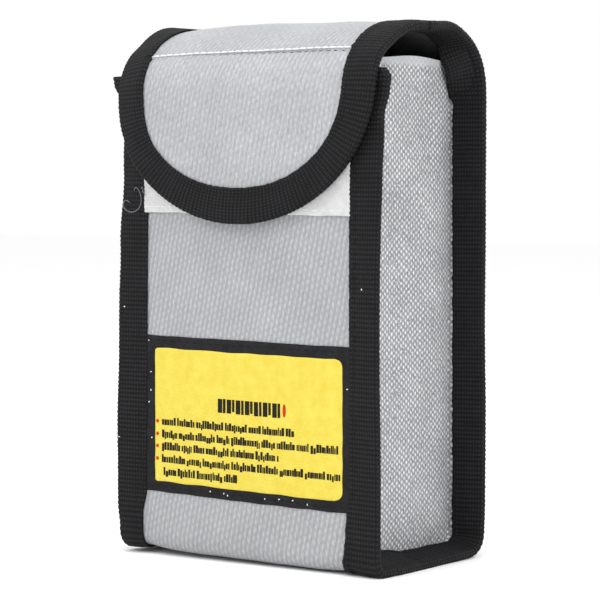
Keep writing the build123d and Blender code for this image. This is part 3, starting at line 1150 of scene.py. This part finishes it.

# These three are one cloth: the flap's copy has lighter stops as painted light, the front's darker
# stops are painted shade, and the gusset's copy paints stronger glints and darker hollows
silver = silver_look("silver_cloth", [(0.12, (0.225, 0.23, 0.24)), (0.5, (0.35, 0.355, 0.37)),
                                      (0.88, (0.52, 0.525, 0.54))], 0.09, WEAVE)
silver_flap_lit = silver_look("silver_flap_lit", [(0.12, (0.25, 0.255, 0.265)), (0.5, (0.385, 0.39, 0.405)),
                                          (0.88, (0.58, 0.585, 0.60))], 0.09, WEAVE, 0.6, 2.6)
silver_side = silver_look("silver_gusset", [(0.2, (0.2, 0.205, 0.215)), (0.5, (0.46, 0.465, 0.48)),
                                            (0.8, (0.84, 0.845, 0.86))], 0.13, CROSS_WEAVE,
                          pores_and_shade=0.7, hem=gusset_hem - 2.4)
black_tape = tape_look("ribbed_tape", (0.002, 0.002, 0.0025), (0.0065, 0.0065, 0.0075),
                       (0.021, 0.021, 0.024))
dark_lining = lining_look()
black_thread = thread_look("black_thread", (0.003, 0.003, 0.0035), (0.007, 0.007, 0.008), 0.2)
pale_thread = thread_look("pale_thread", (0.6, 0.6, 0.62), (0.85, 0.85, 0.87), 0.4)
grey_thread = thread_look("grey_thread", (0.05, 0.05, 0.055), (0.28, 0.28, 0.29), 0.4)

cloth = dress(body_cloth(), silver, "cloth_silver", "front_panel", "bottom_panel", "back_panel")
lid_and_pouch(cloth)
flap = dress(flap_sheet("flap_cloth", 0.8, 0.02, ply - 0.04), silver_flap_lit,
             "cloth_silver", "lid_panel", "tongue_panel")
lid_and_tongue(flap)
inner = dress(body_lining(), dark_lining, "lining_dark", "lining_front", "lining_bottom", "lining_back")
lid_and_pouch(inner)
flap_inner = dress(flap_sheet("flap_lining", 1.2, -ply, ply - 0.03), dark_lining,
                   "lining_dark", "lid_lining", "tongue_lining")
lid_and_tongue(flap_inner)

for side in (RIGHT, LEFT):
    word = side_name(side)
    gusset = on_pouch(gusset_cloth(side), silver_side, "cloth_silver", "gusset_" + word)
    gusset_inner = on_pouch(gusset_lining(side), dark_lining, "lining_dark", "lining_" + word)
    edges = ["binding_front_" + word, "binding_bottom_" + word, "binding_back_" + word]
    binding = dress(body_tape(side), black_tape, "tape_black", *edges)
    lid_and_pouch(binding)
    lid_and_pouch(dress(body_tape_stitches(side), black_thread, "thread_black",
                        "thread_binding_" + word))

flap_edge = dress(flap_tape(), black_tape, "tape_black",
                  "lid_binding_right", "lid_binding_left", "tongue_binding")
lid_and_tongue(flap_edge)
lid_and_tongue(dress(flap_tape_stitches(), black_thread, "thread_black",
                     "thread_lid_right", "thread_lid_left", "thread_tongue"))
lid_and_tongue(dress(flap_line_row("flap_line_stitches", 1.0, -0.35, 2.5, 0.55, 0.26), pale_thread,
                     "thread_grey", "thread_flap_line"))
shadow = flap_line_row("flap_line_shadow", 2.1, 0.25, 1.3, 0.36, 0.14)
lid_and_tongue(dress(shadow, grey_thread, "thread_grey"))

loop = pad_on_front("loop_pad", edge_x + 0.3, loop_low, loop_high, pile, 0.42, 0.05, 61)
on_pouch(loop, loop_look(), "loop_white", "loop_strip")
seam = cross_stitches("loop_stitches", (loop_low + strip_row, loop_high - strip_row), pile)
on_pouch(seam, pale_thread, "thread_grey", "thread_loop_strip")
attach(dress(hook_pad(), hook_look(), "hook_dark", "hook_patch"), "tongue")

for end in loose_ends():
    on_pouch(end, grey_thread, "thread_grey")
on_pouch(lint(), pale_thread, "thread_grey")

backing = pad_on_front("label_backing", edge_x + 0.25, label_low, label_high, label_ply, 0.7, 0.0, 71)
on_pouch(backing, label_look("label_black", (0.008, 0.008, 0.009), (0.018, 0.018, 0.02), 0.7, 0.15),
         "label_border", "label_patch")
field = pad_on_front("label_field_cloth", field_half, field_low + 0.2, field_high - 0.6, field_ply,
                     0.35, 0.0, 81, (0.6, 2.1), 0.6)
on_pouch(field, label_look("label_yellow", (0.66, 0.52, 0.045), (0.72, 0.60, 0.08), 0.5, 0.35),
         "label_yellow", "label_field")
seam = cross_stitches("label_stitches", (label_low + label_row, label_high - label_row), label_ply)
on_pouch(seam, black_thread, "thread_black", "thread_label")
bars = label_bars(bar_rows(91) + heading_blocks(), 92)
on_pouch(bars, ink_look("black_ink", (0.006, 0.005, 0.004), (0.02, 0.017, 0.01)), "label_border")
on_pouch(red_marks(), ink_look("red_ink", (0.38, 0.015, 0.008), (0.6, 0.05, 0.015)), "label_border")
